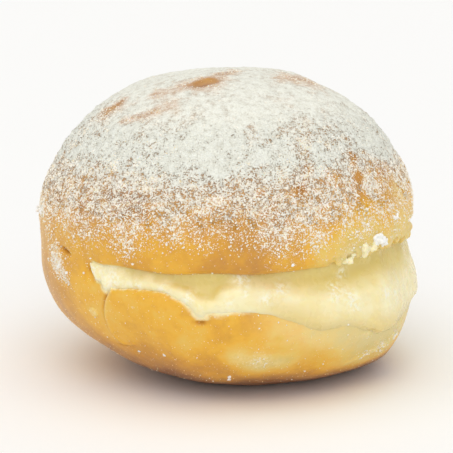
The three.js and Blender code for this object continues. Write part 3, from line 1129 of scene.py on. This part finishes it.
def make_clumps(name, clumps, seed, balls, ball_size, roughness, surface):
    """Small irregular lumps, each a few balls run together, on what carries them."""
    draw = random.Random(seed)
    form = bmesh.new()
    for centre, half_width in clumps:
        middle = surface.find_nearest(Vector(centre) * MM)[0]
        reach = half_width * MM
        for _ in range(balls):
            radius = reach * draw.uniform(*ball_size)
            offset = Vector([draw.uniform(-BALL_SPREAD, BALL_SPREAD) for _ in range(3)]) * reach
            add_ball(form, middle + offset, radius, 2)
    piece = new_piece(name, form)
    even_skin(piece, CLUMP_GRAIN, 1)
    points, normals = skin_of(piece.data)
    move_skin(piece.data, points + normals * swells(points, roughness, 2, seed)[:, None])
    return piece


# Finishes


def feed(tree, socket, value):
    if isinstance(value, bpy.types.NodeSocket):
        tree.links.new(value, socket)
    else:
        socket.default_value = value


def add(tree, kind, feeds=None, **settings):
    """Adds a shader node. Each feed is a value for an input, or the output that drives it."""
    made = tree.nodes.new("ShaderNode" + kind)
    for name, value in settings.items():
        setattr(made, name, value)
    for name, value in (feeds or {}).items():
        feed(tree, made.inputs[name], value)
    return made


def ramp(tree, share, stops):
    """A run of colours over a share from 0 to 1."""
    made = add(tree, "ValToRGB", {"Fac": share})
    for index, (place, colour) in enumerate(stops):
        stop = made.color_ramp.elements[index] if index < 2 else made.color_ramp.elements.new(place)
        stop.position = place
        stop.color = colour
    return made.outputs["Color"]


def blend(tree, share, first, second):
    """One colour over another by a share."""
    made = add(tree, "Mix", data_type="RGBA")
    for place, value in ((0, share), (6, first), (7, second)):
        feed(tree, made.inputs[place], value)
    return made.outputs[2]


def maths(tree, operation, *values):
    made = add(tree, "Math", operation=operation)
    for place, value in enumerate(values):
        feed(tree, made.inputs[place], value)
    return made.outputs[0]


def mixed(tree, share, first, second):
    """A share of one value and the rest of another."""
    return maths(tree, "MULTIPLY_ADD", first, share, maths(tree, "MULTIPLY", second, 1 - share))


def varied(tree, value, pattern, change):
    """A value that a pattern changes both ways."""
    return maths(tree, "MULTIPLY_ADD", maths(tree, "SUBTRACT", pattern, 0.5), change, value)


def rescale(tree, value, low, high, to_low=0.0, to_high=1.0):
    feeds = {"Value": value, "From Min": low, "From Max": high, "To Min": to_low, "To Max": to_high}
    return add(tree, "MapRange", feeds, interpolation_type="SMOOTHSTEP").outputs["Result"]


def stored(tree, name):
    """A number that was kept for each point."""
    return add(tree, "Attribute", attribute_name=name).outputs["Fac"]


def shade(red, green, blue):
    """A colour given as it looks, 0 to 255, as the light it sends back."""
    return tuple(
        c / 12.92 if c <= 0.04045 else ((c + 0.055) / 1.055) ** 2.4
        for c in (red / 255, green / 255, blue / 255)
    ) + (1,)


def grain_noise(tree, size, detail=2.0):
    """Noise with features of that size, over the object."""
    place = add(tree, "TexCoord").outputs["Object"]
    feeds = {"Vector": place, "Scale": 1 / size, "Detail": detail, "Roughness": 0.6}
    return add(tree, "TexNoise", feeds).outputs["Fac"]


def grain_cells(tree, size):
    """A random value for each of many small cells of that size, over the object."""
    place = add(tree, "TexCoord").outputs["Object"]
    cells = add(tree, "TexVoronoi", {"Vector": place, "Scale": 1 / size})
    return add(tree, "SeparateColor", {"Color": cells.outputs["Color"]}).outputs["Red"]


# Colours, and how far each tints what lies under it
WHITE = (1, 1, 1, 1)
CREAM_COLOUR = shade(249, 236, 188)
# Painted shade on the cream under the upper lip, and how far it tints
CREAM_SHADE = shade(226, 203, 112)
CREAM_SHADE_TINT = 0.82
# Whitish curd, partly a painted wet highlight
CURD_AND_SHEEN_COLOUR = shade(254, 249, 226)
DOUGH_COLOUR = shade(226, 203, 132)
DOUGH_TINT = 0.85
FILM_TINT = 0.9
CRUMB_COLOUR = shade(244, 224, 162)
# Painted shade in cracks and along the split, and how far it tints
CRACK_SHADE_COLOUR = shade(190, 128, 36)
CRACK_SHADE_TINT = 0.8
HAZE_COLOUR = shade(230, 202, 174)
HAZE_TINT = 0.3
WET_COLOUR = shade(204, 172, 150)
WET_TINT = 0.6
# Painted shade in the pits of the closed sugar, and how far it tints
PIT_SHADE_COLOUR = shade(174, 164, 146)
PIT_SHADE_TINT = 0.6
SPECK_COLOUR = shade(252, 226, 160)
SPECK_TINT = 0.7

# How rough and shiny each surface is
CRUST_ROUGHNESS = (0.38, 0.9)
CRUST_SHINE = 0.4
SUGAR_SURFACE = (0.9, 0.25)
CREAM_ROUGHNESS = (0.2, 0.38)
CREAM_SHINE = 0.5
CRUMB_SURFACE = (0.7, 0.5)
FLOOR_SURFACE = (0.9, 0.1)


def new_group(name, inputs, outputs):
    """A group of nodes that several finishes share, with its start and end."""
    group = bpy.data.node_groups.new(name, "ShaderNodeTree")
    for socket in inputs:
        group.interface.new_socket(socket, in_out="INPUT", socket_type="NodeSocketFloat")
    for socket in outputs:
        kind = "NodeSocketColor" if socket == "Color" else "NodeSocketFloat"
        group.interface.new_socket(socket, in_out="OUTPUT", socket_type=kind)
    return group, group.nodes.new("NodeGroupInput").outputs, group.nodes.new("NodeGroupOutput").inputs


def crust_colour_group():
    """Fried crust from pale through golden to brown, uneven over a broad and a fine size."""
    group, start, end = new_group("crust_colour", ["Toast_and_painted_light"], ["Color", "Pores"])
    pores = grain_noise(group, 1.6 * MM)
    toast_and_painted_light = varied(group, start["Toast_and_painted_light"], grain_noise(group, 6 * MM, 3.0), 0.46)
    toast_and_painted_light = varied(group, toast_and_painted_light, pores, 0.16)
    colour = ramp(group, toast_and_painted_light, [
        (0.05, shade(214, 194, 122)),
        (0.95, shade(156, 102, 56)),
        (0.28, shade(234, 199, 102)),
        (0.46, shade(236, 182, 60)),
        (0.62, shade(217, 158, 56)),
        (0.78, shade(194, 138, 68)),
    ])
    group.links.new(colour, end["Color"])
    group.links.new(pores, end["Pores"])
    return group


def sugar_cover_group():
    """Which spots the sugar hides: speckles where there is little, pits where there is much."""
    group, start, end = new_group("sugar_cover", ["Dust", "Melt"], ["Cover", "Closed", "Grit"])
    dust = start["Dust"]
    melt = start["Melt"]
    grit = mixed(group, 0.26, grain_cells(group, 0.34 * MM), grain_noise(group, 0.36 * MM, 1.0))
    clusters = grain_noise(group, 1.6 * MM)
    amount = maths(group, "MULTIPLY_ADD", maths(group, "POWER", dust, 0.6), 1.44, -0.87)
    amount = varied(group, amount, clusters, 1.35)
    amount = varied(group, amount, grit, 2.8)
    amount = maths(group, "MULTIPLY_ADD", rescale(group, dust, 0.7, 1.0), 0.25, amount)
    speckled = rescale(group, amount, -0.26, 0.26)
    # Where it is damp, most of the speckles run together
    smooth = rescale(group, varied(group, dust, clusters, 0.7), 0.1, 0.9, 0.0, 0.93)
    change = maths(group, "SUBTRACT", smooth, speckled)
    cover = maths(group, "MULTIPLY_ADD", maths(group, "MULTIPLY", melt, 0.75), change, speckled)
    height = maths(group, "MULTIPLY_ADD", clusters, 0.8, grit)
    height = maths(group, "MULTIPLY", height, rescale(group, melt, 0.0, 1.0, 1.0, 0.35))
    group.links.new(cover, end["Cover"])
    group.links.new(rescale(group, dust, 0.45, 0.85), end["Closed"])
    group.links.new(height, end["Grit"])
    return group


def sugar_white_group():
    """Fine sugar: warm where single grains lie on the crust, whiter where closed, with grey patches of
    painted shade there.
    """
    group, start, end = new_group("sugar_white", ["Closed"], ["Color", "Fine"])
    fine = grain_noise(group, 0.4 * MM)
    share = mixed(group, 0.5, fine, grain_noise(group, 1.6 * MM))
    loose = ramp(group, share, [(0.3, shade(247, 233, 211)), (0.6, shade(255, 249, 236))])
    # The grey end of the closed sugar's colours is painted shade
    closed = ramp(group, share, [(0.3, shade(220, 218, 205)), (0.6, shade(246, 247, 237))])
    group.links.new(blend(group, start["Closed"], loose, closed), end["Color"])
    group.links.new(fine, end["Fine"])
    return group


def new_finish(name):
    material = bpy.data.materials.new(name)
    material.use_nodes = True
    tree = material.node_tree
    tree.nodes.clear()
    surface = add(tree, "BsdfPrincipled")
    add(tree, "OutputMaterial", {"Surface": surface.outputs["BSDF"]})
    return material, tree, surface


def paint(tree, surface, colour, roughness, shine):
    feed(tree, surface.inputs["Base Color"], colour)
    feed(tree, surface.inputs["Roughness"], roughness)
    feed(tree, surface.inputs["Specular IOR Level"], shine)


def see_through(surface, weight, radius, depth):
    """Light that goes into the surface and comes out again nearby."""
    surface.inputs["Subsurface Weight"].default_value = weight
    surface.inputs["Subsurface Radius"].default_value = radius
    surface.inputs["Subsurface Scale"].default_value = depth


def raise_surface(tree, surface, height, distance, strength):
    feeds = {"Height": height, "Distance": distance, "Strength": strength}
    tree.links.new(add(tree, "Bump", feeds).outputs["Normal"], surface.inputs["Normal"])


def sugar_surface(tree, surface, colour):
    paint(tree, surface, colour, *SUGAR_SURFACE)
    see_through(surface, 0.15, (1.0, 0.95, 0.85), 0.5 * MM)


def dusted_crust(tree, groups, crust):
    """A crust under sugar, with painted shade in the sugar's pits: its colour, how far the sugar hides it,
    and the sugar's grit.
    """
    dust = stored(tree, "dust")
    melt = stored(tree, "melt")
    cover = add(tree, "Group", {"Dust": dust, "Melt": melt}, node_tree=groups["cover"]).outputs
    white = add(tree, "Group", {"Closed": cover["Closed"]}, node_tree=groups["white"]).outputs
    hazy = blend(tree, rescale(tree, dust, 0.15, 0.6, 0.0, HAZE_TINT), crust, HAZE_COLOUR)
    wet = maths(tree, "MULTIPLY", rescale(tree, dust, 0.05, 0.5, 0.0, WET_TINT), melt)
    hazy = blend(tree, wet, hazy, WET_COLOUR)
    # Painted shade: where the sugar is closed, the crust in its pits is greyed
    hazy = blend(tree, rescale(tree, dust, 0.6, 0.95, 0.0, PIT_SHADE_TINT), hazy, PIT_SHADE_COLOUR)
    return blend(tree, cover["Cover"], hazy, white["Color"]), cover["Cover"], cover["Grit"]


def crust_finish(groups):
    """The fried skin, with torn places, cream smears and specks of sugar."""
    material, tree, surface = new_finish("fried_crust")
    crust = add(tree, "Group", {"Toast_and_painted_light": stored(tree, "toast_and_painted_light")}, node_tree=groups["crust"]).outputs
    crumbly = rescale(tree, grain_noise(tree, 0.8 * MM), 0.35, 0.65, 0.4, 1.0)
    torn = maths(tree, "MULTIPLY", stored(tree, "torn"), crumbly)
    # Pale crumb colour, which low on the front also stands for a painted highlight
    colour = blend(tree, torn, crust["Color"], CRUMB_COLOUR)
    # Painted shade darkens the cracks and the split
    crack_shade = maths(tree, "MULTIPLY", stored(tree, "crack_shade"), CRACK_SHADE_TINT)
    colour = blend(tree, crack_shade, colour, CRACK_SHADE_COLOUR)
    colour = blend(tree, stored(tree, "smear"), colour, CREAM_COLOUR)
    wispy = varied(tree, stored(tree, "film"), grain_noise(tree, 1.2 * MM), 0.6)
    colour = blend(tree, rescale(tree, wispy, 0.2, 0.9, 0.0, FILM_TINT), colour, CREAM_COLOUR)
    colour, cover, _ = dusted_crust(tree, groups, colour)
    paint(tree, surface, colour, rescale(tree, cover, 0, 1, *CRUST_ROUGHNESS), CRUST_SHINE)
    see_through(surface, 0.25, (1.0, 0.55, 0.2), 2.2 * MM)
    raise_surface(tree, surface, maths(tree, "MULTIPLY_ADD", cover, 0.9, crust["Pores"]), 0.25 * MM, 0.5)
    return material


def sugar_layer_finish(groups):
    """The closed layer of sugar, with pits down to the crust, greyed with painted shade."""
    material, tree, surface = new_finish("sugar_dusting")
    crust = add(tree, "Group", {"Toast_and_painted_light": stored(tree, "toast_and_painted_light")}, node_tree=groups["crust"]).outputs
    colour, cover, grit = dusted_crust(tree, groups, crust["Color"])
    sugar_surface(tree, surface, colour)
    raise_surface(tree, surface, maths(tree, "MULTIPLY_ADD", cover, 0.8, grit), 0.5 * MM, 0.9)
    return material


def sugar_finish(groups, name, closed, share, tint):
    """Grains or clumps of sugar, whiter the closer they lie, with a share of a tint."""
    material, tree, surface = new_finish(name)
    white = add(tree, "Group", {"Closed": closed}, node_tree=groups["white"]).outputs
    sugar_surface(tree, surface, blend(tree, share, white["Color"], tint))
    raise_surface(tree, surface, white["Fine"], 0.2 * MM, 0.6)
    return material


def cream_finish():
    """Smooth custard cream, wet and a little see-through, with painted shade under the lip and whitish curds
    that are partly a painted wet highlight.
    """
    material, tree, surface = new_finish("custard_cream")
    soft = grain_noise(tree, 2.2 * MM, 1.0)
    share = mixed(tree, 0.25, soft, grain_noise(tree, 5 * MM))
    colour = ramp(tree, share, [(0.3, shade(244, 228, 168)), (0.65, shade(250, 239, 196))])
    # Painted shade: the cream under the lip is tinted darker and yellower
    under_lip = maths(tree, "MULTIPLY", stored(tree, "under_lip"), CREAM_SHADE_TINT)
    colour = blend(tree, under_lip, colour, CREAM_SHADE)
    colour = blend(tree, maths(tree, "MULTIPLY", stored(tree, "doughy"), DOUGH_TINT), colour, DOUGH_COLOUR)
    # White flecks of curd that also stand for a painted wet highlight
    flecks = rescale(tree, grain_noise(tree, 0.9 * MM), 0.4, 0.6)
    flecks = maths(tree, "MULTIPLY", flecks, stored(tree, "curds_and_sheen"))
    colour = blend(tree, flecks, colour, CURD_AND_SHEEN_COLOUR)
    paint(tree, surface, colour, rescale(tree, soft, 0.3, 0.7, *CREAM_ROUGHNESS), CREAM_SHINE)
    see_through(surface, 0.4, (1.0, 0.8, 0.4), 2.5 * MM)
    raise_surface(tree, surface, maths(tree, "MULTIPLY_ADD", flecks, 1.2, soft), 0.4 * MM, 0.12)
    return material


def crumb_finish():
    """Soft pale crumb."""
    material, tree, surface = new_finish("soft_crumb")
    fine = grain_noise(tree, 0.4 * MM)
    share = mixed(tree, 0.5, fine, grain_noise(tree, 1.5 * MM))
    colour = ramp(tree, share, [(0.3, shade(246, 230, 176)), (0.65, shade(253, 246, 214))])
    paint(tree, surface, colour, *CRUMB_SURFACE)
    see_through(surface, 0.3, (1.0, 0.7, 0.35), 1 * MM)
    raise_surface(tree, surface, fine, 0.2 * MM, 0.5)
    return material


# Stage, light and camera


def make_stage():
    form = bmesh.new()
    bmesh.ops.create_grid(form, x_segments=1, y_segments=1, size=FLOOR_HALF_WIDTH)
    floor = new_piece("floor", form)
    material, tree, surface = new_finish("pale_floor")
    paint(tree, surface, FLOOR_COLOUR, *FLOOR_SURFACE)
    floor.data.materials.append(material)


def soft_sun(name, towards, strength, spread):
    """A broad soft light from one direction."""
    lamp = bpy.data.lights.new(name, "SUN")
    lamp.energy = strength
    lamp.angle = spread
    add_object(name, lamp).rotation_euler = (-Vector(towards)).to_track_quat("-Z", "Y").to_euler()


def make_light():
    world = bpy.data.worlds.new("soft_room")
    world.use_nodes = True
    sky = world.node_tree.nodes["Background"]
    sky.inputs["Color"].default_value = SKY_COLOUR
    sky.inputs["Strength"].default_value = SKY_STRENGTH
    bpy.context.scene.world = world
    soft_sun("ceiling", CEILING_FROM, CEILING_STRENGTH, CEILING_SPREAD)
    soft_sun("window", WINDOW_FROM, WINDOW_STRENGTH, WINDOW_SPREAD)


def make_camera():
    lens = bpy.data.cameras.new("camera")
    lens.lens = CAMERA_LENS
    lens.clip_start = CAMERA_NEAREST
    camera = add_object("camera", lens)
    back = Vector((0, -math.cos(CAMERA_ELEVATION), math.sin(CAMERA_ELEVATION)))
    camera.location = CAMERA_TARGET + back * CAMERA_DISTANCE
    camera.rotation_euler = (-back).to_track_quat("-Z", "Y").to_euler()
    bpy.context.scene.camera = camera
    bpy.context.scene.view_settings.view_transform = "Standard"


def main():
    make_camera()
    make_stage()
    make_light()

    cream_tree = tree_of(node_form("cream"))
    bun = make_bun(cream_tree)
    bun_tree = tree_of(form_of(bun.data))
    cream = make_cream(cream_tree, bun_tree)
    soak(bun, cream)
    layer = make_sugar_layer()
    grain = eight_sided_grain()
    fine = make_sugar_grains(bun, "fine_sugar", grain, FINE_GRAINS, FINE_SIZE, STRAY_SUGAR, 71)
    grain = twenty_sided_grain()
    coarse = make_sugar_grains(bun, "coarse_sugar", grain, COARSE_GRAINS, COARSE_SIZE, STRAY_SUGAR, 72)
    grain = eight_sided_grain()
    specks = make_sugar_grains(bun, "sugar_specks", grain, SPECKS, SPECK_SIZE, STRAY_SPECKS, 75)
    clumps = make_clumps(
        "sugar_clumps", SUGAR_CLUMPS, 73, SUGAR_BALLS, SUGAR_BALL_SIZE, SUGAR_ROUGHNESS, bun_tree
    )
    crumbs = make_clumps("crumbs", CRUMBS, 74, CRUMB_BALLS, CRUMB_BALL_SIZE, CRUMB_ROUGHNESS, bun_tree)

    groups = {"crust": crust_colour_group(), "cover": sugar_cover_group(), "white": sugar_white_group()}
    loose_sugar = sugar_finish(groups, "loose_sugar", 0.25, 0.05, WHITE)
    finish_piece(bun, crust_finish(groups), "crust", "dough")
    finish_piece(cream, cream_finish(), "cream", "cream")
    finish_piece(layer, sugar_layer_finish(groups), "sugar")
    finish_piece(fine, loose_sugar, "sugar")
    finish_piece(coarse, loose_sugar, "sugar")
    finish_piece(specks, sugar_finish(groups, "sugar_specks", 0.1, SPECK_TINT, SPECK_COLOUR), "sugar")
    finish_piece(clumps, sugar_finish(groups, "clumped_sugar", 0.9, 0.7, WHITE), "sugar")
    finish_piece(crumbs, crumb_finish(), "crust")


main()
